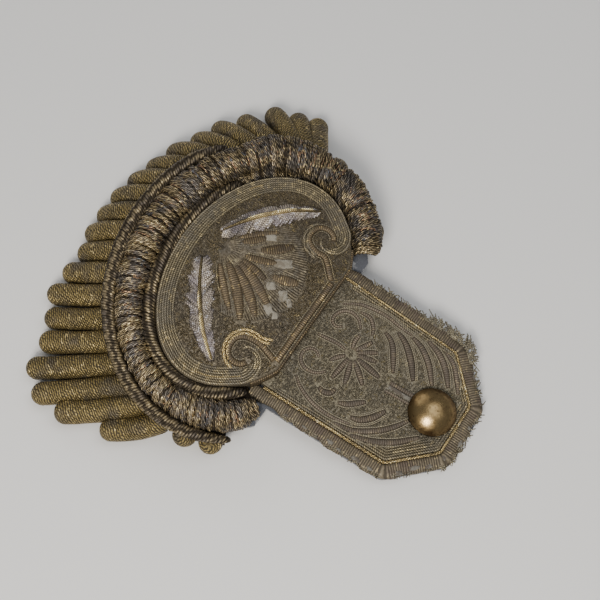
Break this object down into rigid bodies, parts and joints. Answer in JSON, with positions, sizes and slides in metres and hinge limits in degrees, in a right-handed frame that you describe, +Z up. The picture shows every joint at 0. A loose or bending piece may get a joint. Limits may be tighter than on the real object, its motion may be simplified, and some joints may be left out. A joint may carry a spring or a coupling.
{
  "type": "epaulette",
  "caption": "Embroidered shoulder ornament: a strap that widens into a domed oval, ringed by a padded crescent that carries a fringe of thick wire-wound bullions.",
  "frame": {"origin": "on the ground, under the middle of the epaulette's bounding box", "axes": "+Z up from the surface that it lies on, +Y from the strap's tip towards the fringe, +X to the right when seen from above with the fringe away"},
  "size_m": [0.1646, 0.1724, 0.0318],
  "materials": {
    "backing_cloth": "plain blue-grey wool cloth, worn through to white at its edges",
    "strap_embroidery": "grey-olive tarnished gold thread, laid and couched",
    "binding_thread": "fine ribs of dull gold thread across the edge, frayed and worn white in places",
    "bright_gold_cord": "bright twisted gilt wire",
    "head_embroidery": "granular ground of cut gold purl, tarnished brown",
    "rim_cord": "rows of fine dull gold cord",
    "ribbed_gold": "closely ribbed brown-gold satin stitch over padding",
    "silver_thread": "tarnished silver purl with lilac and blue tones",
    "crescent_rope": "dark twisted rope with cream and gold ridges",
    "crescent_thread": "bundles of dark gold thread over padding, shining where they cross the crest",
    "bullion_wire": "close turns of dull gold wire with bluish-grey tarnish",
    "button_brass": "worn plain brass with brown speckles"
  },
  "bodies": {
    "root": {"backing": "backing_cloth", "strap": "strap_embroidery", "strap_edge_binding": "binding_thread", "strap_gold_cord": "bright_gold_cord", "strap_palmette": "strap_embroidery", "strap_plumes_left": "strap_embroidery", "strap_plumes_right": "strap_embroidery", "button": "button_brass", "head_plate": "head_embroidery", "rim_border": "rim_cord", "base_scroll": "ribbed_gold", "head_palmette": "ribbed_gold", "volute_cord_left": "bright_gold_cord", "volute_cord_right": "bright_gold_cord", "silver_leaf_left": "silver_thread", "silver_leaf_right": "silver_thread", "leaf_vein_left": "bright_gold_cord", "leaf_vein_right": "bright_gold_cord", "crescent_inner_rope": "crescent_rope", "crescent_roll": "crescent_thread", "crescent_outer_rope": "crescent_rope", "bullion_fringe": "bullion_wire"}
  },
  "joints": []
}
